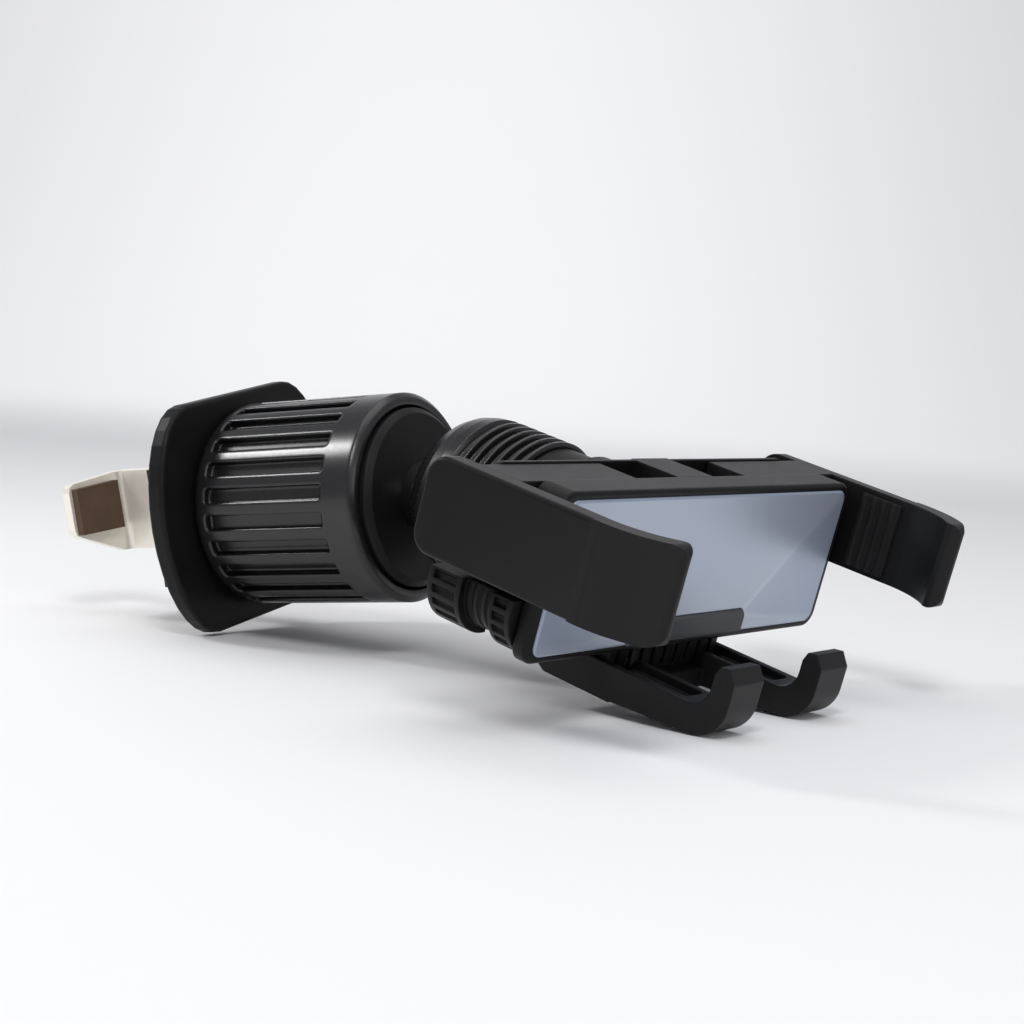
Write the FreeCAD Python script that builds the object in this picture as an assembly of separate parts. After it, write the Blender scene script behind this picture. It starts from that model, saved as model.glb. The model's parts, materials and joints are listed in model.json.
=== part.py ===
"""Car phone mount: vent clamp with a ribbed knob, a locking ball joint and a spring cradle.

Two local frames share the ball's centre. In the clamp frame x runs along the clamp's
axis towards the ball. In the cradle frame x runs out of the face plate, y across the
cradle and z up it. Both frames are then placed in the assembly's own frame.
"""
import FreeCAD, Part
import math
import os

V = FreeCAD.Vector
os.makedirs("parts", exist_ok=True)

# ---------------------------------------------------------------- driving dimensions (mm, degrees)
BALL_CENTRE = V(4.243, 0.0, 25.217)  # ball's centre, from the assembly's bottom centre
CRADLE_PITCH = 12.95              # cradle leans forward
CLAMP_PITCH = 7.55                # clamp axis climbs towards the ball
CLAMP_YAW = 6.0
CLAMP_ROLL = 9.5

BALL_R = 7.5
STUD_R = 3.6
CAP_R, CAP_FRONT, CAP_REAR = 13.4, -9.5, -16.0
KNOB_R, KNOB_RIM_R = 15.7, 14.9
KNOB_FRONT, KNOB_REAR = -10.9, -41.2
KNOB_SLOTS = 24
SLEEVE_R, SLEEVE_BORE = 9.0, 5.6
RUN_FIT = 0.05
WING_FRONT, WING_T = -41.6, 3.0
WING_H, WING_V = 21.2, 17.7       # half width and half height
WING_FLAT = 12.0                  # half length of the flat top and bottom
STRAP_T, STRAP_W, STRAP_NARROW = 1.5, 13.0, 9.0
HOOK_X, HOOK_LEG = -69.0, 12.7

PLATE_UP = 3.4                    # plate's centre above the ball's centre
CRADLE_SHIFT = -2.0               # cradle drawn this much too far forward, moved back when placed
PLATE_W, PLATE_H, PLATE_T = 68.0, 20.4, 1.2
BODY_W, BODY_H = 71.0, 22.4
BACK_X, FRONT_X = 29.0, 42.5      # back of the body, face of the plate
WALL = 1.4
SPLIT_X = 37.5                    # where the front shell meets the rear one
SLIDER_X0, SLIDER_X1 = 30.7, 37.2
SLIDER_IN = 13.4                  # slider's inner end from the middle
ARM_OUT, ARM_T = 41.0, 3.0
ARM_REAR, ARM_LIP = 25.0, 61.1     # arm's rear end and the front of its lip
ARM_Z0, ARM_Z1 = -1.6, 11.0
GEAR_R, GEAR_TEETH = 4.0, 10
FOOT_W = 14.6                     # half width of the foot
PRONG_IN = 7.4
FOOT_TOP, FOOT_BOT = -15.4, -17.0
FOOT_RIM = -13.2


# ---------------------------------------------------------------- helpers
def box(x0, x1, y0, y1, z0, z1):
    """Box between two corners given in any order."""
    return Part.makeBox(abs(x1 - x0), abs(y1 - y0), abs(z1 - z0),
                        V(min(x0, x1), min(y0, y1), min(z0, z1)))


def rod(r, x0, x1, y=0.0, z=0.0):
    """Cylinder along x."""
    return Part.makeCylinder(r, abs(x1 - x0), V(min(x0, x1), y, z), V(1, 0, 0))


def rod_y(r, y0, y1, x, z):
    """Cylinder along y."""
    return Part.makeCylinder(r, abs(y1 - y0), V(x, min(y0, y1), z), V(0, 1, 0))


def cone(r0, r1, x0, x1, y=0.0, z=0.0):
    """Cone along x."""
    return Part.makeCone(r0, r1, x1 - x0, V(x0, y, z), V(1, 0, 0))


def turned(points):
    """Solid turned about x from (x, radius) points of a closed outline."""
    wire = Part.makePolygon([V(x, 0, r) for x, r in points] + [V(points[0][0], 0, points[0][1])])
    return Part.Face(wire).revolve(V(0, 0, 0), V(1, 0, 0), 360)


def slab(points, z0, z1):
    """Outline in x, y drawn up from z0 to z1."""
    wire = Part.makePolygon([V(x, y, z0) for x, y in points] + [V(points[0][0], points[0][1], z0)])
    return Part.Face(wire).extrude(V(0, 0, z1 - z0))


def side(points, y0, y1):
    """Outline in x, z drawn across from y0 to y1."""
    wire = Part.makePolygon([V(x, y0, z) for x, z in points] + [V(points[0][0], y0, points[0][1])])
    return Part.Face(wire).extrude(V(0, y1 - y0, 0))


def front(points, x0, x1):
    """Outline in y, z drawn forward from x0 to x1."""
    wire = Part.makePolygon([V(x0, y, z) for y, z in points] + [V(x0, points[0][0], points[0][1])])
    return Part.Face(wire).extrude(V(x1 - x0, 0, 0))


def rounded(x0, x1, hy, hz, r):
    """Block with its four long edges along x rounded."""
    s = box(x0, x1, -hy, hy, -hz, hz)
    es = [e for e in s.Edges if abs(e.Vertexes[0].Y - e.Vertexes[1].Y) < 1e-6
          and abs(e.Vertexes[0].Z - e.Vertexes[1].Z) < 1e-6]
    return s.makeFillet(r, es)


def ease(s, r, pick):
    """Round the edges whose middle point passes the test; leave the solid alone if it can't."""
    es = [e for e in s.Edges if pick(e)]
    if not es:
        return s
    try:
        f = s.makeFillet(r, es)
        if f.isValid() and f.Volume > 0.5 * s.Volume:
            return f
    except Exception:
        pass
    return s


def fuse(first, *rest):
    """Join solids into one and clean the seams."""
    s = first
    for o in rest:
        s = s.fuse(o)
    return s.removeSplitter()


def mirror(s):
    """The other hand of a piece, across the middle of the cradle."""
    return s.mirror(V(0, 0, 0), V(0, 1, 0))


CRADLE = FreeCAD.Placement(BALL_CENTRE, FreeCAD.Rotation(V(0, 1, 0), CRADLE_PITCH))
CLAMP = FreeCAD.Placement(
    BALL_CENTRE,
    FreeCAD.Rotation(V(0, 0, 1), CLAMP_YAW)
    * FreeCAD.Rotation(V(0, 1, 0), -CLAMP_PITCH)
    * FreeCAD.Rotation(V(1, 0, 0), CLAMP_ROLL))
LIFT = FreeCAD.Placement(V(CRADLE_SHIFT, 0, PLATE_UP), FreeCAD.Rotation())


def put(name, s, where):
    """Place a piece and write it out."""
    s = s.copy()
    s.Placement = where.multiply(s.Placement)
    if s.ShapeType != "Solid" and len(s.Solids) == 1:
        s = s.Solids[0]
    s.exportStep("parts/%s.step" % name)


def clamp(name, s):
    put(name, s, CLAMP)


def joint(name, s):
    put(name, s, CRADLE)


def cradle(name, s):
    """Pieces of the cradle are drawn about the plate's centre height."""
    put(name, s, CRADLE.multiply(LIFT))


# ================================================================ CLAMP
# ball and its stud, turned in one; the stud goes through the cap
ball = Part.makeSphere(BALL_R).cut(box(BALL_R - 0.5, 9, -9, 9, -9, 9))
ball_stud = fuse(ball, rod(STUD_R, -6.0, -19.4))
clamp("ball_stud", ball_stud)

# front cap with a short cone round the stud
cap = fuse(turned([(CAP_REAR, STUD_R), (CAP_REAR, CAP_R), (CAP_FRONT - 0.9, CAP_R),
                   (CAP_FRONT, CAP_R - 0.9), (CAP_FRONT, 5.2), (-8.7, STUD_R + 0.5), (-8.7, STUD_R)]))
clamp("front_cap", cap)

# hexagonal nut that pulls the stud against the cap
hexa = front([(4.6 * math.cos(math.radians(60 * i)), 4.6 * math.sin(math.radians(60 * i)))
              for i in range(6)], -19.2, CAP_REAR)
clamp("stud_nut", hexa.cut(rod(STUD_R, -25, 0)))

# sleeve on which the knob turns, with two slots for the carriage's lugs
sleeve = rod(SLEEVE_R, WING_FRONT, CAP_REAR).cut(rod(SLEEVE_BORE, -50, 0))
sleeve = sleeve.cut(box(-38.6, -20.0, -12, 12, -2.1, 2.1))
clamp("hub_sleeve", sleeve)

# wing plate: flat top and bottom, bulged sides
k = WING_H - WING_FLAT
wing_pts = [(-WING_FLAT, WING_V), (WING_FLAT, WING_V)]
for i in range(1, 16):
    t = math.pi / 2 - math.pi * i / 16
    wing_pts.append((WING_FLAT + k * math.cos(t) ** 1.05, WING_V * math.sin(t)))
wing_pts += [(WING_FLAT, -WING_V), (-WING_FLAT, -WING_V)]
for i in range(1, 16):
    t = -math.pi / 2 + math.pi * i / 16
    wing_pts.append((-WING_FLAT - k * math.cos(t) ** 1.05, WING_V * math.sin(t)))
wing = front(wing_pts, WING_FRONT - WING_T, WING_FRONT)
wing = ease(wing, 0.7, lambda e: abs(e.BoundBox.XLength) < 1e-4)
wing = wing.cut(box(-50, -40, -1.05, 1.05, -4.9, 4.9))
clamp("wing_plate", wing)
for tag, s in (("near", -1), ("far", 1)):
    pad = box(WING_FRONT - WING_T - 1.0, WING_FRONT - WING_T, s * 12.8, s * 18.8, -9, 9)
    for j in range(4):
        z = -6.6 + 4.4 * j
        pad = pad.cut(box(WING_FRONT - WING_T - 1.0, WING_FRONT - WING_T - 0.6,
                          s * 12.0, s * 20.0, z - 0.5, z + 0.5))
    clamp("wing_pad_" + tag, pad)

# knob: smooth band in front, slots behind, bored for the sleeve and the thread ring
knob = turned([(KNOB_FRONT, CAP_R + 0.4), (KNOB_FRONT, KNOB_RIM_R), (KNOB_FRONT - 0.8, KNOB_R),
               (KNOB_REAR + 1.6, KNOB_R), (KNOB_REAR + 0.7, KNOB_R - 0.4), (KNOB_REAR, KNOB_R - 1.4),
               (KNOB_REAR, SLEEVE_R + RUN_FIT), (-39.0, SLEEVE_R + RUN_FIT), (-39.0, 12.0),
               (-19.4, 12.0), (-19.4, SLEEVE_R + RUN_FIT), (CAP_REAR - 0.3, SLEEVE_R + RUN_FIT),
               (CAP_REAR - 0.3, CAP_R + 0.4)])
cutters = []
for i in range(KNOB_SLOTS):
    c = box(-38.4, -16.6, -1.1, 1.1, KNOB_R - 1.3, KNOB_R + 2)
    c = ease(c, 0.35, lambda e: abs(e.BoundBox.ZLength) > 1)
    c.rotate(V(0, 0, 0), V(1, 0, 0), 360.0 * i / KNOB_SLOTS)
    cutters.append(c)
knob = knob.cut(cutters)
clamp("ribbed_knob", knob)

# ring with the driving thread, pressed into the knob
ring_pts = [(-39.0, 12.0), (-19.4, 12.0), (-19.4, 10.9)]
x = -19.9
while x > -38.4:
    ring_pts += [(x, 10.2), (x - 0.8, 10.2), (x - 1.3, 10.9), (x - 1.7, 10.9)]
    x -= 2.2
ring_pts += [(-39.0, 10.9)]
clamp("knob_thread_ring", turned(ring_pts))

# carriage inside the sleeve, its lugs reaching the thread ring
car = fuse(rod(SLEEVE_BORE - 0.1, -37.6, -31.4), box(-37.6, -31.4, -9.9, 9.9, -1.8, 1.8))
car = car.cut(box(-38, -31, -STRAP_T / 2, STRAP_T / 2, -STRAP_NARROW / 2, STRAP_NARROW / 2))
for z in (-3.0, 3.0):
    car = car.cut(rod_y(0.8, -8, 8, -34.5, z))
clamp("hook_carriage", car)
# two rivets hold the strap in the carriage
riv = rod_y(0.8, -4.2, 4.2, -34.5, -3.0).fuse(rod_y(0.8, -4.2, 4.2, -34.5, 3.0))
clamp("hook_rivets", Part.makeCompound(riv.Solids))

# strap: narrow inside the sleeve, wide behind the wing, bent over into a short leg
h, q = STRAP_T / 2, STRAP_NARROW / 2
blank = Part.Face(Part.makePolygon([
    V(-31.4, 0, -q), V(-31.4, 0, q), V(-57.5, 0, q), V(-60.0, 0, STRAP_W / 2), V(-76, 0, STRAP_W / 2),
    V(-76, 0, -STRAP_W / 2), V(-60.0, 0, -STRAP_W / 2), V(-57.5, 0, -q), V(-31.4, 0, -q)]))
blank = blank.extrude(V(0, 2 * h, 0))
blank.translate(V(0, -h, 0))
blank = blank.cut(box(HOOK_X + 2.0, -90, -5, 5, -9, 9))
bend = Part.makeCylinder(2.0 + h, STRAP_W, V(HOOK_X + 2.0, -2.0, -STRAP_W / 2), V(0, 0, 1)).cut(
    Part.makeCylinder(2.0 - h, STRAP_W, V(HOOK_X + 2.0, -2.0, -STRAP_W / 2), V(0, 0, 1)))
bend = bend.common(box(HOOK_X - 2, HOOK_X + 2.0, -2.0, 2, -9, 9))
leg = front([(-2.0, -STRAP_W / 2), (-2.0, STRAP_W / 2), (-HOOK_LEG + 1.2, 6.3), (-HOOK_LEG + 0.3, 5.9),
             (-HOOK_LEG, 5.0), (-HOOK_LEG, -1.0), (-HOOK_LEG + 0.3, -1.9), (-HOOK_LEG + 1.2, -2.4)], HOOK_X - h, HOOK_X + h)
strap = fuse(blank, bend, leg)
for z in (-3.0, 3.0):
    strap = strap.cut(rod_y(0.8, -8, 8, -34.5, z))
clamp("hook_strap", strap)
pad = front([(-2.6, -2.5), (-2.6, 5.3), (-HOOK_LEG + 0.6, 5.5), (-HOOK_LEG + 0.6, -1.9)],
            HOOK_X + h, HOOK_X + h + 1.2)
clamp("hook_pad", pad)

# ================================================================ BALL JOINT
def shell(r0, r1):
    """Part of a hollow ball, open widely towards the stud and a little at the back."""
    s = Part.makeSphere(r1).cut(Part.makeSphere(r0))
    s = s.cut(box(-12, -r1 * math.cos(math.radians(65)), -12, 12, -12, 12))
    return s.cut(box(r1 * math.cos(math.radians(30)), 12, -12, 12, -12, 12))


joint("ball_seat_inner", shell(BALL_R + 0.05, 8.25))
joint("ball_seat_outer", shell(8.30, 9.0))

# lock nut: domed mouth, six ridges, turns on the housing's collar
dome = [(-5.0, 8.2), (-4.2, 9.4), (-3.0, 10.5), (-1.4, 11.4), (0.4, 11.9), (2.0, 12.1)]
ridges = []
for i in range(6):
    x = 2.6 + 1.75 * i
    ridges += [(x, 11.25), (x + 0.75, 11.25), (x + 1.0, 12.15), (x + 1.45, 12.15)]
nut = turned(dome + ridges + [(13.0, 11.6), (13.0, 10.5), (-0.3, 10.5), (-0.3, 6.0), (-5.0, 6.0)])
nut = nut.cut(Part.makeSphere(9.06))
joint("lock_nut", nut)

# housing: collar inside the nut, neck and boss on the back of the cradle
house = turned([(0.6, 8.0), (0.6, 10.45), (13.3, 10.45), (13.3, 11.4), (18.6, 11.4), (19.4, 12.2),
                (BACK_X + CRADLE_SHIFT, 12.2), (BACK_X + CRADLE_SHIFT, 6.0), (0.6, 6.0)])
house = fuse(house, rod(6.5, 9.0, 12.0)).cut(Part.makeSphere(9.05))
joint("socket_housing", house)

# ================================================================ CRADLE
hy, hz = BODY_W / 2, BODY_H / 2
BTN_Y, BTN_IN = 31.0, 30.2


def pocket(x0, x1):
    """Room for the two release buttons in the lower corners."""
    return [box(x0, x1, s * 28.2, s * 50, -20, -2.1) for s in (-1, 1)]


SCREWS = [(0.0, 9.7), (-26.6, -8.2), (26.6, -8.2)]

rear = rounded(BACK_X, SPLIT_X, hy, hz, 2.5)
rear = ease(rear, 1.0, lambda e: abs(e.CenterOfMass.x - BACK_X) < 0.02)
inner = box(BACK_X + WALL, SPLIT_X + 1, -hy - 1, hy + 1, -hz + WALL, hz + 1)
rear = rear.cut(inner)
bridge = box(BACK_X + 0.5, SPLIT_X, -4.25, 4.25, 8.3, hz)
shelf = [box(BACK_X + WALL, 32.9, s * 17.0, s * hy, -3.1, -1.9) for s in (-1, 1)]
guard = [box(BACK_X + WALL, SPLIT_X, s * 26.0, s * 27.2, -hz + 0.5, -2.1) for s in (-1, 1)]
posts = [rod(1.45, BACK_X + WALL, SPLIT_X, y, z) for y, z in SCREWS]
rear = fuse(rear, bridge, *(shelf + guard + posts))
rear = rear.cut(pocket(BACK_X - 1, SPLIT_X + 1))
rear = rear.cut(box(BACK_X - 1, SPLIT_X + 1, -60, 60, 11.2, 20))
for s in (-1, 1):
    rear = rear.cut(rod_y(1.6, s * 24, s * 30, 34.0, -5.0))
for y, z in SCREWS:
    rear = rear.cut(rod(0.8, BACK_X - 1, SPLIT_X + 1, y, z)).cut(rod(1.3, BACK_X - 1, BACK_X + 0.8, y, z))
rear = rear.cut(rod(1.2, BACK_X - 1, BACK_X + 3))
cradle("rear_shell", rear)

fshell = rounded(SPLIT_X, FRONT_X - 0.3, hy, hz, 2.5)
fshell = ease(fshell, 0.6, lambda e: abs(e.CenterOfMass.x - (FRONT_X - 0.3)) < 0.02)
fshell = fshell.cut(rounded(FRONT_X - 0.1 - PLATE_T, FRONT_X + 1, PLATE_W / 2 + 0.05, PLATE_H / 2 + 0.05, 1.6))
fshell = fshell.cut(box(SPLIT_X - 1, 40.3, -12.3, 12.3, -20, 8.3))
for s in (-1, 1):
    fshell = fshell.cut(box(SPLIT_X - 1, 40.2, s * 28.2, s * 50, -20, -2.1))
for y, z in SCREWS:
    fshell = fshell.cut(rod(0.8, SPLIT_X - 1, 40.0, y, z))
cradle("front_shell", fshell)

plate = rounded(FRONT_X - PLATE_T - 0.1, FRONT_X, PLATE_W / 2, PLATE_H / 2, 1.6)
plate = ease(plate, 0.35, lambda e: abs(e.CenterOfMass.x - FRONT_X) < 0.02)
notch = box(FRONT_X - 3, FRONT_X + 1, -14.1, 14.1, -12.0, -6.7)
notch = ease(notch, 1.5, lambda e: e.BoundBox.XLength > 2 and e.CenterOfMass.z > -8)
plate = plate.cut(notch)
cradle("face_plate", plate)

tab = box(FRONT_X - PLATE_T - 0.1, FRONT_X + 0.35, -14.0, 14.0, -10.15, -6.8)
tab = ease(tab, 1.4, lambda e: e.BoundBox.XLength > 1 and e.CenterOfMass.z > -8)
tab = ease(tab, 0.3, lambda e: abs(e.CenterOfMass.x - FRONT_X - 0.35) < 0.02)
cradle("foot_guide_tab", tab)

screws = [rod(0.75, BACK_X + 0.8, 39.8, y, z).fuse(rod(1.25, BACK_X + 0.1, BACK_X + 0.8, y, z)).cut(
    box(BACK_X, BACK_X + 0.4, y - 0.9, y + 0.9, z - 0.2, z + 0.2)) for y, z in SCREWS]
cradle("shell_screws", Part.makeCompound([s.Solids[0] for s in screws]))

# pinion that keeps the two arms together, on a shouldered axle
cradle("pinion_axle", fuse(rod(1.2, BACK_X + 0.2, 36.7), rod(2.2, BACK_X + WALL, 33.1), rod(2.0, 36.7, 37.3)))
pin = rod(3.1, 33.4, 36.4)
teeth = []
for i in range(GEAR_TEETH):
    tooth = front([(-0.58, 2.8), (0.58, 2.8), (0.42, 4.0), (0.28, 4.7), (-0.28, 4.7), (-0.42, 4.0)], 33.4, 36.4)
    tooth.rotate(V(0, 0, 0), V(1, 0, 0), 360.0 * i / GEAR_TEETH)
    teeth.append(tooth)
pin = fuse(pin, *teeth).cut(rod(1.2 + RUN_FIT, 30, 40))
cradle("sync_pinion", pin)

PITCH = 2 * math.pi * GEAR_R / GEAR_TEETH


def rack(y0, y1, up):
    """Toothed bar lying across the cradle; up=+1 lies above the pinion, teeth down."""
    s = box(33.4, 36.4, y0, y1, up * 5.1, up * 7.8)
    n = 0
    while True:
        c = PITCH * (n + 0.5)
        if c + 0.7 > max(abs(y0), abs(y1)):
            break
        for cc in (c, -c):
            if min(y0, y1) + 0.6 < cc < max(y0, y1) - 0.6:
                s = s.fuse(front([(cc - 0.58, up * 5.2), (cc + 0.58, up * 5.2),
                                  (cc + 0.3, up * 3.4), (cc - 0.3, up * 3.4)], 33.4, 36.4))
        n += 1
    return s.removeSplitter()


# sliders carry the arms; the left rack lies above the pinion, the right one below
slider_l = box(SLIDER_X0, SLIDER_X1, -(ARM_OUT - ARM_T), -SLIDER_IN, ARM_Z0, ARM_Z1)
slider_l = slider_l.cut(box(32.0, 36.4, -hy + 1.5, -SLIDER_IN - 2.0, ARM_Z0 + 2.0, ARM_Z1 - 2.0))
slider_l = fuse(slider_l, rack(-SLIDER_IN - 1, 12.9, 1))
slider_r = box(SLIDER_X0, SLIDER_X1, SLIDER_IN, ARM_OUT - ARM_T, ARM_Z0, ARM_Z1)
slider_r = slider_r.cut(box(32.0, 36.4, SLIDER_IN + 2.0, hy - 1.5, ARM_Z0 + 2.0, ARM_Z1 - 2.0))
slider_r = fuse(slider_r, box(33.4, 36.4, SLIDER_IN, SLIDER_IN + 2.0, -7.8, ARM_Z0 + 1),
                rack(-12.9, SLIDER_IN + 1, -1))


def arm_profile():
    """Outline of the right arm seen from above: flat side, hooked front lip."""
    o, i = ARM_OUT, ARM_OUT - ARM_T
    e = [Part.makeLine(V(ARM_REAR, o, 0), V(50.5, o, 0)),
         Part.Arc(V(50.5, o, 0), V(56.6, o - 1.1, 0), V(ARM_LIP - 0.5, o - 4.4, 0)).toShape(),
         Part.Arc(V(ARM_LIP - 0.5, o - 4.4, 0), V(ARM_LIP, o - 5.7, 0), V(ARM_LIP - 0.9, o - 6.7, 0)).toShape(),
         Part.Arc(V(ARM_LIP - 0.9, o - 6.7, 0), V(ARM_LIP - 1.8, o - 6.9, 0), V(ARM_LIP - 2.6, o - 6.3, 0)).toShape(),
         Part.Arc(V(ARM_LIP - 2.6, o - 6.3, 0), V(55.0, o - 3.8, 0), V(50.0, i, 0)).toShape(),
         Part.makeLine(V(50.0, i, 0), V(ARM_REAR, i, 0)),
         Part.makeLine(V(ARM_REAR, i, 0), V(ARM_REAR, o, 0))]
    return Part.Face(Part.Wire(e))


arm = arm_profile().extrude(V(0, 0, ARM_Z1 - ARM_Z0))
arm.translate(V(0, 0, ARM_Z0))
trim = box(ARM_REAR, ARM_LIP, 30.0, ARM_OUT + 1, ARM_Z0, ARM_Z1)
trim = ease(trim, 2.8, lambda e: abs(e.BoundBox.YLength) > 5 and e.CenterOfMass.x < 30)
trim = ease(trim, 1.7, lambda e: abs(e.BoundBox.YLength) > 5 and e.CenterOfMass.x > 60)
arm = arm.common(trim)
arm = ease(arm, 0.6, lambda e: abs(e.CenterOfMass.y - ARM_OUT) < 0.05)
tenon = box(32.4, 35.6, ARM_OUT - ARM_T, ARM_OUT - 1.4, 1.0, 8.4)
arm = arm.cut(tenon)
cradle("left_slider", fuse(slider_l, mirror(tenon)))
cradle("right_slider", fuse(slider_r, tenon))
cradle("right_arm", arm)
cradle("left_arm", mirror(arm))

# ribbed rubber on the arms' inner faces
i = ARM_OUT - ARM_T
rib_pts = [(43.4, i), (43.4, i - 0.7)]
x = 43.4
while x < 49.0:
    rib_pts += [(x + 0.3, i - 0.7), (x + 0.6, i - 1.2), (x + 1.0, i - 1.2), (x + 1.3, i - 0.7)]
    x += 1.6
rib_pts += [(49.9, i - 0.7), (49.9, i)]
apad = slab(rib_pts, ARM_Z0 + 0.8, ARM_Z1 - 0.8)
cradle("right_arm_pad", apad)
cradle("left_arm_pad", mirror(apad))

# release buttons in the lower corners: two ribbed lobes with a waist, and a plunger
def lobe(x0, x1, r):
    s = rod(r, x0, x1, BTN_Y, -4.6)
    return s


btn = fuse(lobe(26.5, 31.8, 6.5), lobe(31.8, 36.5, 5.4), lobe(36.5, 39.9, 6.3))
for a in range(-82, 40, 17):
    c = math.radians(a)
    for x0, x1, r in ((27.3, 31.1, 6.5), (37.1, 39.2, 6.3)):
        btn = btn.cut(rod(0.6, x0, x1, BTN_Y + (r + 0.1) * math.cos(c), -4.6 + (r + 0.1) * math.sin(c)))
for x in (32.9, 34.2, 35.5):
    btn = btn.cut(Part.makeTorus(5.5, 0.35, V(x, BTN_Y, -4.6), V(1, 0, 0)))
btn = btn.common(box(20, 50, BTN_IN, 60, -hz, -3.4))
btn = fuse(btn, rod_y(1.5, 26.2, 31.0, 34.0, -5.0))
cradle("right_button", btn)
cradle("left_button", mirror(btn))

# ================================================================ FOOT
base = box(29.6, 42.5, -FOOT_W, FOOT_W, FOOT_BOT - 1.0, FOOT_TOP)
base = base.cut(side([(29.0, FOOT_BOT - 1.0), (29.0, FOOT_BOT + 0.4), (31.4, FOOT_BOT - 1.0)], -20, 20))
tray = base
channels = []
for s in (-1, 1):
    prong = Part.Wire([
        Part.makeLine(V(40.0, 0, FOOT_TOP), V(40.0, 0, FOOT_BOT - 1.0)),
        Part.makeLine(V(40.0, 0, FOOT_BOT - 1.0), V(54.8, 0, FOOT_BOT)),
        Part.Arc(V(54.8, 0, FOOT_BOT), V(58.34, 0, FOOT_BOT + 1.46), V(59.8, 0, FOOT_BOT + 5.0)).toShape(),
        Part.makeLine(V(59.8, 0, FOOT_BOT + 5.0), V(59.8, 0, -8.8)),
        Part.makeLine(V(59.8, 0, -8.8), V(58.6, 0, -7.0)),
        Part.makeLine(V(58.6, 0, -7.0), V(57.2, 0, -7.2)),
        Part.makeLine(V(57.2, 0, -7.2), V(56.7, 0, -8.4)),
        Part.makeLine(V(56.7, 0, -8.4), V(56.7, 0, FOOT_RIM + 3.0)),
        Part.Arc(V(56.7, 0, FOOT_RIM + 3.0), V(55.82, 0, FOOT_RIM + 0.88), V(53.7, 0, FOOT_RIM)).toShape(),
        Part.makeLine(V(53.7, 0, FOOT_RIM), V(41.2, 0, FOOT_RIM)),
        Part.makeLine(V(41.2, 0, FOOT_RIM), V(40.0, 0, FOOT_TOP))])
    prong = Part.Face(prong)
    prong.translate(V(0, s * PRONG_IN, 0))
    prong = prong.extrude(V(0, s * (FOOT_W - PRONG_IN), 0))
    prong = ease(prong, 1.0, lambda e: abs(abs(e.CenterOfMass.y) - (FOOT_W + PRONG_IN) / 2) > 3
                 and e.CenterOfMass.z > FOOT_TOP + 4 and e.CenterOfMass.x < 59.7
                 and e.BoundBox.ZLength > 0.05 and e.CenterOfMass.z > -9)
    rail = side([(29.6, FOOT_TOP - 0.5), (31.2, FOOT_RIM), (44.0, FOOT_RIM), (44.0, FOOT_TOP - 0.2)],
                s * (FOOT_W - 1.3), s * FOOT_W)
    tray = tray.fuse(prong).fuse(rail)
    channels.append(box(39.0, 52.6, s * (PRONG_IN + 1.0), s * (FOOT_W - 1.3), FOOT_TOP, FOOT_RIM + 1))
tray = tray.removeSplitter()
for c in channels:
    tray = tray.cut(ease(c, 1.2, lambda e: e.BoundBox.ZLength > 1 and e.CenterOfMass.x > 50))
tray = tray.cut(box(38.0, 40.0, -12.0, 12.0, FOOT_TOP - 1.0, FOOT_TOP + 5))
for y in (-8.0, 8.0):
    tray = tray.cut(Part.makeCylinder(0.9, 6, V(39.0, y, FOOT_BOT - 3)))
    tray = tray.cut(Part.makeCylinder(1.7, 2.4, V(39.0, y, FOOT_BOT - 3)))
cradle("foot_tray", tray)

tongue = fuse(box(38.0, 40.0, -12.0, 12.0, FOOT_TOP - 1.0, 7.6),
              box(38.0, 40.0, -13.2, 13.2, FOOT_TOP, -11.7))
for j in range(9):
    y = -11.2 + 2.8 * j
    tongue = tongue.cut(box(39.5, 41.0, y - 0.5, y + 0.5, FOOT_TOP + 0.4, 5.0))
for y in (-8.0, 8.0):
    tongue = tongue.cut(Part.makeCylinder(0.7, 6.5, V(39.0, y, FOOT_BOT - 3)))
cradle("foot_tongue", tongue)
fs = [Part.makeCylinder(0.7, 4.5, V(39.0, y, FOOT_BOT - 1.1)).fuse(
    Part.makeCylinder(1.6, 0.45, V(39.0, y, FOOT_BOT - 1.05))) for y in (-8.0, 8.0)]
cradle("foot_screws", Part.makeCompound([s.Solids[0] for s in fs]))

for tag, s in (("near", -1), ("far", 1)):
    fp = box(41.4, 52.6, s * (PRONG_IN + 1.0), s * (FOOT_W - 1.3), FOOT_TOP, FOOT_TOP + 1.1)
    fp = ease(fp, 1.2, lambda e: e.BoundBox.ZLength > 0.8 and e.CenterOfMass.x > 50)
    for j in range(4):
        y = s * (PRONG_IN + 1.7 + 1.17 * j)
        fp = fp.cut(box(42.2, 51.2, y - 0.32, y + 0.32, FOOT_TOP + 0.4, FOOT_TOP + 1.2))
    cradle("foot_pad_" + tag, fp)
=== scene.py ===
"""Car phone mount, dressed for its picture: finishes, studio and camera."""
from __future__ import annotations

import json
import logging
import math
from dataclasses import dataclass, field
from enum import Enum
from typing import Any, Sequence

import bmesh
import bpy
from mathutils import Matrix, Vector

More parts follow.
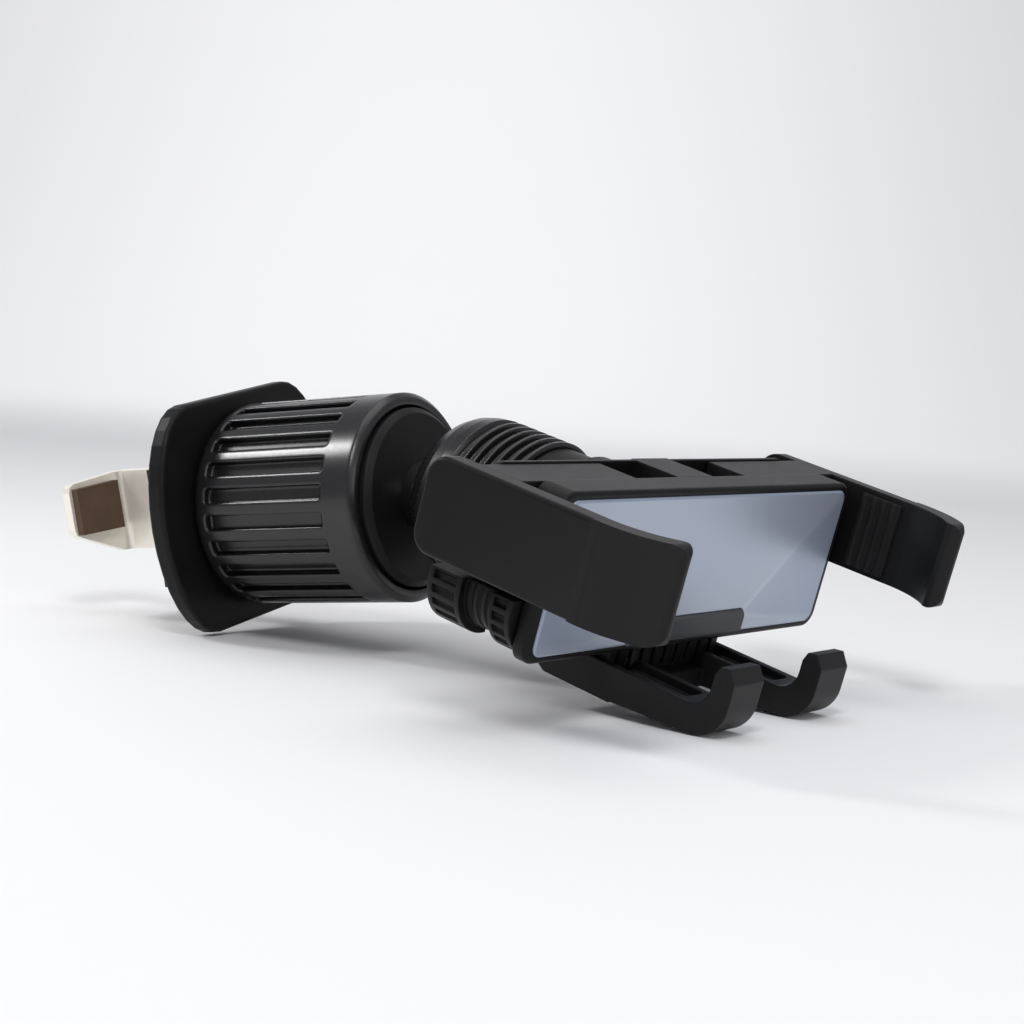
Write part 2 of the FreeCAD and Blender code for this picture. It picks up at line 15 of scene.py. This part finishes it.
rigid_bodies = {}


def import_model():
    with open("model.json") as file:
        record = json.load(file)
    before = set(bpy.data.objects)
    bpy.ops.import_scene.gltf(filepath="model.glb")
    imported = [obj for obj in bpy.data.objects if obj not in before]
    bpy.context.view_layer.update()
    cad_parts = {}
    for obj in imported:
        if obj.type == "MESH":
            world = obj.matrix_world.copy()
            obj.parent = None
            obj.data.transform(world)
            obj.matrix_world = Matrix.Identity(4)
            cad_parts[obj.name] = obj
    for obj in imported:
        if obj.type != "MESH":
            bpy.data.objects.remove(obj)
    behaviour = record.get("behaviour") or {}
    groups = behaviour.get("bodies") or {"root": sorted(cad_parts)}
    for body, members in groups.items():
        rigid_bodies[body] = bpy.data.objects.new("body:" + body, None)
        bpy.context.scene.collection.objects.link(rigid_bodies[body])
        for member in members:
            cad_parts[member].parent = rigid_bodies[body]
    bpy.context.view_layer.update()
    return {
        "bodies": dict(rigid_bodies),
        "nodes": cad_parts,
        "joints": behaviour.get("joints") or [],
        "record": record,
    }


LOG = logging.getLogger("phone_mount")
Colour = tuple[float, float, float]

NOISE_MIDDLE = 0.5                    # a noise wanders about this value
FLAT_POINTINESS = 0.5                 # what the pointiness output gives on a flat face
MIX_FACTOR, MIX_FIRST, MIX_SECOND, MIX_RESULT = 0, 6, 7, 2    # sockets of a colour Mix node


# ------------------------------------------------------------------ shader maths
class Wire:
    """A node's output that can be used in sums like a number."""

    def __init__(self, tree: bpy.types.NodeTree, socket: bpy.types.NodeSocket) -> None:
        """Hold an output socket.

        Args:
            tree: The node tree it belongs to.
            socket: The output socket.
        """
        self.tree = tree
        self.socket = socket

    def _math(self, operation: str, first: Any, second: Any) -> "Wire":
        """Add one Math node.

        Args:
            operation: The Math node's operation.
            first: Wire or number for its first input.
            second: Wire or number for its second input.

        Returns:
            The node's output.
        """
        node = self.tree.nodes.new("ShaderNodeMath")
        node.operation = operation
        for index, value in enumerate((first, second)):
            if isinstance(value, Wire):
                self.tree.links.new(value.socket, node.inputs[index])
            elif value is not None:
                node.inputs[index].default_value = float(value)
        return Wire(self.tree, node.outputs[0])

    def __add__(self, other: Any) -> "Wire":
        """Sum."""
        return self._math("ADD", self, other)

    def __radd__(self, other: Any) -> "Wire":
        """Sum, the number first."""
        return self._math("ADD", other, self)

    def __sub__(self, other: Any) -> "Wire":
        """Difference."""
        return self._math("SUBTRACT", self, other)

    def __mul__(self, other: Any) -> "Wire":
        """Product."""
        return self._math("MULTIPLY", self, other)

    def clipped(self) -> "Wire":
        """The value held between 0 and 1."""
        return self._math("MINIMUM", self._math("MAXIMUM", self, 0.0), 1.0)


class Shader:
    """A material being built."""

    def __init__(self, name: str) -> None:
        """Start an empty material with a Principled shader.

        Args:
            name: The material's name.
        """
        self.material = bpy.data.materials.new(name)
        self.material.use_nodes = True
        self.tree = self.material.node_tree
        self.tree.nodes.clear()
        self.out = self.tree.nodes.new("ShaderNodeOutputMaterial")
        self.body = self.tree.nodes.new("ShaderNodeBsdfPrincipled")
        self.tree.links.new(self.body.outputs[0], self.out.inputs["Surface"])

    def node(self, kind: str, settings: dict[str, Any] | None = None,
             values: dict[Any, Any] | None = None, output: Any = 0) -> Wire:
        """Add any node.

        Args:
            kind: The node's type.
            settings: Its properties, set first.
            values: Its input values or wires, by name or number.
            output: Which output is wanted.

        Returns:
            The wanted output.
        """
        made = self.tree.nodes.new(kind)
        for key, value in (settings or {}).items():
            setattr(made, key, value)
        for key, value in (values or {}).items():
            if isinstance(value, Wire):
                self.tree.links.new(value.socket, made.inputs[key])
            else:
                made.inputs[key].default_value = value
        return Wire(self.tree, made.outputs[output])

    def place(self) -> Wire:
        """The point on the piece, in metres."""
        return self.node("ShaderNodeTexCoord", output="Object")

    def noise(self, scale: float, detail: float = 2.0, rough: float = 0.5,
              at: Wire | None = None) -> Wire:
        """Fine random variation.

        Args:
            scale: Features per metre.
            detail: Octaves.
            rough: How strong the finer octaves are.
            at: Where it is read; the point on the piece by default.

        Returns:
            A value near 0.5.
        """
        return self.node("ShaderNodeTexNoise", values={
            "Vector": at or self.place(), "Scale": scale, "Detail": detail, "Roughness": rough})

    def mix(self, mask: Any, first: Any, second: Any) -> Wire:
        """Mix two colours.

        Args:
            mask: 0 gives the first, 1 the second.
            first: Colour or wire.
            second: Colour or wire.

        Returns:
            The mixed colour.
        """
        made = self.tree.nodes.new("ShaderNodeMix")
        made.data_type = "RGBA"
        for index, value in ((MIX_FACTOR, mask), (MIX_FIRST, first), (MIX_SECOND, second)):
            if isinstance(value, Wire):
                self.tree.links.new(value.socket, made.inputs[index])
            elif index == MIX_FACTOR:
                made.inputs[index].default_value = float(value)
            else:
                made.inputs[index].default_value = (*value, 1.0)
        return Wire(self.tree, made.outputs[MIX_RESULT])

    def bump(self, height: Wire, distance: float, strength: float, under: Wire) -> Wire:
        """Turn a height into a normal.

        Args:
            height: The height, 0 to 1.
            distance: How many metres 0 to 1 stands for.
            strength: 0 to 1.
            under: A normal that this one lies on.

        Returns:
            The normal.
        """
        return self.node("ShaderNodeBump", values={
            "Height": height, "Distance": distance, "Strength": strength, "Normal": under})

    # mask of convex edges; on the anodised plate it carries a painted highlight
    def convex_edge_mask(self, spread: float) -> Wire:
        """A mask of convex edges.

        Args:
            spread: How sharply the mask rises.

        Returns:
            0 on flats, up to 1 on edges.
        """
        point = self.node("ShaderNodeNewGeometry", output="Pointiness")
        return ((point - FLAT_POINTINESS) * spread).clipped()

    def softened(self, radius: float, samples: int = 6) -> Wire:
        """A normal that rounds sharp edges a little.

        Args:
            radius: The rounding in metres.
            samples: How finely it is worked out.

        Returns:
            The normal.
        """
        return self.node("ShaderNodeBevel", {"samples": samples}, {"Radius": radius})

    def set(self, **sockets: Any) -> None:
        """Fill the Principled shader's sockets; underscores in a name stand for spaces."""
        for key, value in sockets.items():
            socket = self.body.inputs[key.replace("_", " ")]
            if isinstance(value, Wire):
                self.tree.links.new(value.socket, socket)
            elif isinstance(value, tuple):
                socket.default_value = (*value, 1.0)
            else:
                socket.default_value = value


# ------------------------------------------------------------------ finishes
def scaled(colour: Colour, factor: float, lift: float = 0.0) -> Colour:
    """A lighter or darker version of a colour.

    Args:
        colour: The colour.
        factor: What each channel is multiplied by.
        lift: What is then added to each.

    Returns:
        The new colour.
    """
    red, green, blue = (min(1.0, channel * factor + lift) for channel in colour)
    return red, green, blue


@dataclass(frozen=True)
class MouldedPlastic:
    """Plastic with a fine spark-eroded grain, a little lighter along its edges."""

    name: str
    tint: Colour
    rough: float = 0.42
    grain_depth: float = 0.000018     # metres
    patchiness: float = 0.06          # how much the roughness wanders
    shine: float = 0.17
    grain_scale: float = 2600.0       # features per metre
    grain_detail: float = 3.0
    grain_break: float = 0.6
    grain_rough: float = 0.10         # how much the grain moves the roughness
    grain_strength: float = 0.8
    patch_scale: float = 90.0
    patch_detail: float = 3.0
    patch_break: float = 0.55
    dust_start: float = 0.42          # patches above this are dusty
    dust_gain: float = 0.9
    dust_tint: tuple[float, float] = (1.3, 0.0015)    # times, plus
    edge_spread: float = 9.0
    edge_share: float = 0.55
    edge_tint: tuple[float, float] = (2.0, 0.008)
    edge_round: float = 0.00035
    edge_samples: int = 6

    def make(self) -> bpy.types.Material:
        """Build the material."""
        s = Shader(self.name)
        grain = s.noise(self.grain_scale, self.grain_detail, self.grain_break)
        patch = s.noise(self.patch_scale, self.patch_detail, self.patch_break)
        edge = s.convex_edge_mask(self.edge_spread)
        dusty = s.mix((patch - self.dust_start) * self.dust_gain,
                      self.tint, scaled(self.tint, *self.dust_tint))
        roughness = (self.rough + (patch - NOISE_MIDDLE) * self.patchiness
                     + (grain - NOISE_MIDDLE) * self.grain_rough)
        s.set(Base_Color=s.mix(edge * self.edge_share, dusty, scaled(self.tint, *self.edge_tint)),
              Roughness=roughness.clipped(),
              Normal=s.bump(grain, self.grain_depth, self.grain_strength,
                            s.softened(self.edge_round, self.edge_samples)),
              Specular_IOR_Level=self.shine)
        return s.material


@dataclass(frozen=True)
class AnodisedPlate:
    """Satin anodised metal with a fine crosswise brushing and a painted highlight along its edges."""

    name: str = "plate_anodised"
    tint: Colour = (0.31, 0.365, 0.475)
    # the pale edge tint is a painted highlight along the plate's edges
    edge_tint: Colour = (0.62, 0.67, 0.76)
    metal: float = 0.5
    rough: float = 0.40
    stretch: Colour = (1.0, 0.06, 1.0)    # the brushing runs along y
    brush_scale: float = 5200.0
    brush_detail: float = 2.0
    brush_break: float = 0.6
    brush_depth: float = 0.000012
    brush_strength: float = 0.6
    brush_rough: float = 0.14
    cloud_scale: float = 45.0
    cloud_start: float = 0.4
    cloud_gain: float = 0.8
    cloud_tint: float = 1.12
    edge_spread: float = 7.0
    edge_share: float = 0.8
    edge_rough: float = 0.12
    edge_round: float = 0.0002

    def make(self) -> bpy.types.Material:
        """Build the material."""
        s = Shader(self.name)
        stretched = s.node("ShaderNodeMapping", values={"Vector": s.place(), "Scale": self.stretch})
        lines = s.noise(self.brush_scale, self.brush_detail, self.brush_break, stretched)
        cloud = s.noise(self.cloud_scale)
        edge = s.convex_edge_mask(self.edge_spread)
        base = s.mix((cloud - self.cloud_start) * self.cloud_gain,
                     self.tint, scaled(self.tint, self.cloud_tint))
        roughness = self.rough + (lines - NOISE_MIDDLE) * self.brush_rough - edge * self.edge_rough
        # edges are mixed towards the pale tint: a painted highlight
        s.set(Base_Color=s.mix(edge * self.edge_share, base, self.edge_tint), Metallic=self.metal,
              Roughness=roughness.clipped(),
              Normal=s.bump(lines, self.brush_depth, self.brush_strength, s.softened(self.edge_round)))
        return s.material


@dataclass(frozen=True)
class Rubber:
    """Matt rubber with a faint bloom."""

    name: str
    tint: Colour
    rough: float = 0.72
    shine: float = 0.3
    grain_scale: float = 4200.0
    grain_detail: float = 3.0
    grain_break: float = 0.6
    grain_depth: float = 0.00004
    grain_strength: float = 0.7
    bloom_scale: float = 160.0
    bloom_detail: float = 4.0
    bloom_break: float = 0.6
    bloom_start: float = 0.45
    bloom_gain: float = 1.2
    bloom_rough: float = 0.16
    bloom_tint: tuple[float, float] = (1.5, 0.004)    # times, plus
    edge_round: float = 0.00025

    def make(self) -> bpy.types.Material:
        """Build the material."""
        s = Shader(self.name)
        fine = s.noise(self.grain_scale, self.grain_detail, self.grain_break)
        bloom = s.noise(self.bloom_scale, self.bloom_detail, self.bloom_break)
        s.set(Base_Color=s.mix((bloom - self.bloom_start) * self.bloom_gain,
                               self.tint, scaled(self.tint, *self.bloom_tint)),
              Roughness=(self.rough + (bloom - NOISE_MIDDLE) * self.bloom_rough).clipped(),
              Normal=s.bump(fine, self.grain_depth, self.grain_strength, s.softened(self.edge_round)),
              Specular_IOR_Level=self.shine)
        return s.material


@dataclass(frozen=True)
class PolishedSteel:
    """Bright rolled strip with long faint draw lines and tiny scuffs."""

    name: str
    tint: Colour
    rough: float = 0.2
    metal: float = 1.0
    stretch: Colour = (0.04, 1.0, 1.0)    # the draw lines run along x
    line_scale: float = 6200.0
    line_detail: float = 3.0
    line_break: float = 0.65
    line_depth: float = 0.00001
    line_strength: float = 0.5
    line_rough: float = 0.16
    scuff_scale: float = 420.0
    scuff_detail: float = 5.0
    scuff_break: float = 0.7
    scuff_gain: float = 1.6
    scuff_rough: float = 0.14
    scuff_tint: float = 0.86
    edge_spread: float = 6.0
    edge_rough: float = 0.08
    edge_round: float = 0.00015

    def make(self) -> bpy.types.Material:
        """Build the material."""
        s = Shader(self.name)
        stretched = s.node("ShaderNodeMapping", values={"Vector": s.place(), "Scale": self.stretch})
        lines = s.noise(self.line_scale, self.line_detail, self.line_break, stretched)
        scuff = s.noise(self.scuff_scale, self.scuff_detail, self.scuff_break)
        roughness = (self.rough + (lines - NOISE_MIDDLE) * self.line_rough
                     + (scuff - NOISE_MIDDLE) * self.scuff_rough
                     + s.convex_edge_mask(self.edge_spread) * self.edge_rough)
        s.set(Base_Color=s.mix((scuff - NOISE_MIDDLE) * self.scuff_gain,
                               self.tint, scaled(self.tint, self.scuff_tint)),
              Metallic=self.metal, Roughness=roughness.clipped(),
              Normal=s.bump(lines, self.line_depth, self.line_strength, s.softened(self.edge_round)))
        return s.material


class Finish(Enum):
    """Every finish on the mount."""

    BLACK = MouldedPlastic("moulded_black", (0.0048, 0.0048, 0.0052))
    KNOB = MouldedPlastic("knob_black", (0.0050, 0.0050, 0.0056), rough=0.25,
                          grain_depth=0.000001, patchiness=0.02, shine=0.55,
                          edge_round=0.0008, edge_samples=16)
    NUT = MouldedPlastic("nut_black", (0.0050, 0.0050, 0.0056), rough=0.27,
                         grain_depth=0.000001, patchiness=0.02, shine=0.6,
                         edge_samples=12)
    GREY = MouldedPlastic("tab_grey", (0.055, 0.057, 0.061), rough=0.40, grain_depth=0.00001)
    NYLON = MouldedPlastic("nylon_dark", (0.03, 0.03, 0.031), rough=0.5)
    PLATE = AnodisedPlate()
    RUBBER = Rubber("pad_rubber", (0.006, 0.006, 0.0064))
    BROWN = Rubber("hook_rubber", (0.10, 0.058, 0.036), rough=0.58)
    # near-white cream tint: the steel's own colour plus a painted reflection of the white surroundings
    HOOK = PolishedSteel("hook_strip_painted_reflection", (0.97, 0.92, 0.83), rough=0.32, metal=0.45)
    STEEL = PolishedSteel("plain_steel", (0.34, 0.34, 0.35), rough=0.32, stretch=(1.0, 1.0, 1.0))


class Wardrobe:
    """Makes each finish once."""

    def __init__(self) -> None:
        """Start empty."""
        self.made: dict[Finish, bpy.types.Material] = {}

    def get(self, finish: Finish) -> bpy.types.Material:
        """Give a finish's material.

        Args:
            finish: Which finish.

        Returns:
            Its material.
        """
        if finish not in self.made:
            self.made[finish] = finish.value.make()
        return self.made[finish]


@dataclass
class Group:
    """A sub-assembly: its CAD nodes and what they are finished in."""

    frame: dict[str, Any]
    wardrobe: Wardrobe
    finishes: dict[str, Finish] = field(default_factory=dict)
    title: str = "group"

    def dress(self) -> None:
        """Give every node of the group its finish."""
        for node, finish in self.finishes.items():
            piece = self.frame["nodes"][node]
            material = self.wardrobe.get(finish)
            piece.data.materials.clear()
            piece.data.materials.append(material)
            LOG.info("%s: %s in %s", self.title, node, material.name)

    def build(self) -> None:
        """Build and dress the group."""
        self.dress()


@dataclass
class Clamp(Group):
    """Wing plate, knob, hook and ball stud."""

    title: str = "clamp"
    finishes: dict[str, Finish] = field(default_factory=lambda: {
        "wing_plate": Finish.BLACK, "wing_pad_near": Finish.RUBBER, "wing_pad_far": Finish.RUBBER,
        "hub_sleeve": Finish.BLACK, "front_cap": Finish.BLACK, "ball_stud": Finish.STEEL,
        "stud_nut": Finish.STEEL, "ribbed_knob": Finish.KNOB, "knob_thread_ring": Finish.NYLON,
        "hook_strap": Finish.HOOK, "hook_pad": Finish.BROWN, "hook_carriage": Finish.NYLON,
        "hook_rivets": Finish.STEEL})


@dataclass
class BallJoint(Group):
    """Seats, lock nut and socket."""

    title: str = "ball joint"
    finishes: dict[str, Finish] = field(default_factory=lambda: {
        "ball_seat_inner": Finish.NYLON, "ball_seat_outer": Finish.NYLON, "lock_nut": Finish.NUT,
        "socket_housing": Finish.BLACK})


@dataclass
class Cradle(Group):
    """Shells, plate, arms, racks and buttons."""

    title: str = "cradle"
    finishes: dict[str, Finish] = field(default_factory=lambda: {
        "rear_shell": Finish.BLACK, "front_shell": Finish.BLACK, "face_plate": Finish.PLATE,
        "foot_guide_tab": Finish.GREY, "shell_screws": Finish.STEEL, "pinion_axle": Finish.STEEL,
        "sync_pinion": Finish.NYLON, "left_slider": Finish.BLACK, "right_slider": Finish.BLACK,
        "left_arm": Finish.BLACK, "right_arm": Finish.BLACK,
        "left_arm_pad": Finish.RUBBER, "right_arm_pad": Finish.RUBBER,
        "left_button": Finish.BLACK, "right_button": Finish.BLACK})


@dataclass
class Foot(Group):
    """Two-pronged tray on its tongue."""

    title: str = "foot"
    finishes: dict[str, Finish] = field(default_factory=lambda: {
        "foot_tray": Finish.BLACK, "foot_tongue": Finish.BLACK, "foot_screws": Finish.STEEL,
        "foot_pad_near": Finish.RUBBER, "foot_pad_far": Finish.RUBBER})


# ------------------------------------------------------------------ studio
@dataclass(frozen=True)
class Lamp:
    """One soft square lamp."""

    name: str
    at: tuple[float, float, float]        # metres
    side: float
    power: float                          # watts
    aim: tuple[float, float, float] = (0.0, 0.0, 0.02)

    def hang(self) -> None:
        """Put the lamp in the scene."""
        lamp = bpy.data.lights.new(self.name, "AREA")
        lamp.shape = "SQUARE"
        lamp.size = self.side
        lamp.energy = self.power
        holder = bpy.data.objects.new(self.name, lamp)
        bpy.context.scene.collection.objects.link(holder)
        holder.location = self.at
        look = Vector(self.aim) - Vector(self.at)
        holder.rotation_euler = look.to_track_quat("-Z", "Y").to_euler()


LAMPS = (
    Lamp("lamp_top", (0.0, 0.12, 0.9), 0.8, 2.6),
    Lamp("lamp_key", (0.236, -0.305, 0.46), 0.16, 1.05),
    Lamp("lamp_back", (-0.55, 0.55, 0.7), 0.6, 4.0, (-0.9, 1.1, 0.4)),
    Lamp("lamp_fill", (0.85, -0.2, 0.3), 0.5, 1.0),
    Lamp("lamp_knob", (-0.25, -0.165, 0.235), 0.055, 0.38),
)


@dataclass
class Studio:
    """Pale floor, soft light and the camera."""

    floor_colour: Colour = (0.86, 0.86, 0.865)
    floor_rough: float = 0.8
    floor_near: float = -2.4              # metres along the camera's heading
    floor_far: float = 0.9
    sweep_radius: float = 0.7
    sweep_steps: int = 12
    wall_top: float = 3.0
    half_width: float = 3.0
    floor_drop: float = 0.0002            # keeps the floor just clear of the mount
    room_tint: Colour = (0.95, 0.96, 1.0)
    room_strength: float = 0.42
    camera_at: tuple[float, float, float] = (0.18733, -0.2275, 0.04829)
    azimuth: float = -52.26
    elevation: float = 4.94
    roll: float = 3.88
    lens: float = 70.3                    # mm
    sensor: float = 36.0
    nearest: float = 0.01                 # metres

    def floor(self) -> None:
        """A floor that sweeps up behind into the backdrop."""
        profile = [(self.floor_near, 0.0), (self.floor_far, 0.0)]
        for step in range(1, self.sweep_steps + 1):
            angle = math.pi / 2 * step / self.sweep_steps
            profile.append((self.floor_far + self.sweep_radius * math.sin(angle),
                            self.sweep_radius * (1.0 - math.cos(angle))))
        profile.append((self.floor_far + self.sweep_radius, self.wall_top))
        heading = math.radians(self.azimuth)
        away = Vector((-math.cos(heading), -math.sin(heading), 0.0))
        across = Vector((-away.y, away.x, 0.0))
        mesh = bpy.data.meshes.new("floor_sweep")
        work = bmesh.new()
        rows = []
        for run, height in profile:
            middle = away * run + Vector((0.0, 0.0, height - self.floor_drop))
            rows.append([work.verts.new(middle + across * (self.half_width * hand)) for hand in (-1, 1)])
        for low, high in zip(rows, rows[1:]):
            face = work.faces.new((low[0], low[1], high[1], high[0]))
            face.smooth = True
        work.to_mesh(mesh)
        work.free()
        sweep = bpy.data.objects.new("floor_sweep", mesh)
        bpy.context.scene.collection.objects.link(sweep)
        s = Shader("floor_paper")
        s.set(Base_Color=self.floor_colour, Roughness=self.floor_rough)
        mesh.materials.append(s.material)

    def lights(self) -> None:
        """A broad top light, a key from the left, a fill and the room's own glow."""
        for lamp in LAMPS:
            lamp.hang()
        world = bpy.data.worlds.new("room")
        world.use_nodes = True
        background = world.node_tree.nodes["Background"]
        background.inputs["Color"].default_value = (*self.room_tint, 1.0)
        background.inputs["Strength"].default_value = self.room_strength
        bpy.context.scene.world = world

    def camera(self) -> None:
        """The camera, looking slightly down with a little roll."""
        data = bpy.data.cameras.new("view")
        data.lens = self.lens
        data.sensor_width = self.sensor
        data.clip_start = self.nearest
        camera = bpy.data.objects.new("view", data)
        bpy.context.scene.collection.objects.link(camera)
        heading, tilt = math.radians(self.azimuth), math.radians(self.elevation)
        ahead = Vector((-math.cos(tilt) * math.cos(heading), -math.cos(tilt) * math.sin(heading),
                        -math.sin(tilt)))
        right = ahead.cross(Vector((0, 0, 1))).normalized()
        up = right.cross(ahead)
        turn = math.radians(self.roll)
        rolled_right = right * math.cos(turn) + up * math.sin(turn)
        rolled_up = up * math.cos(turn) - right * math.sin(turn)
        basis = Matrix((rolled_right, rolled_up, -ahead)).transposed().to_4x4()
        basis.translation = Vector(self.camera_at)
        camera.matrix_world = basis
        bpy.context.scene.camera = camera

    def set_up(self) -> None:
        """Make the whole studio."""
        self.floor()
        self.lights()
        self.camera()
        bpy.context.scene.view_settings.view_transform = "Standard"


def main() -> None:
    """Build and dress every group in order."""
    logging.basicConfig(level=logging.INFO, format="%(message)s")
    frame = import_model()
    wardrobe = Wardrobe()
    Studio().set_up()
    for group in (Clamp(frame, wardrobe), BallJoint(frame, wardrobe), Cradle(frame, wardrobe),
                  Foot(frame, wardrobe)):
        group.build()


if __name__ == "__main__":
    main()
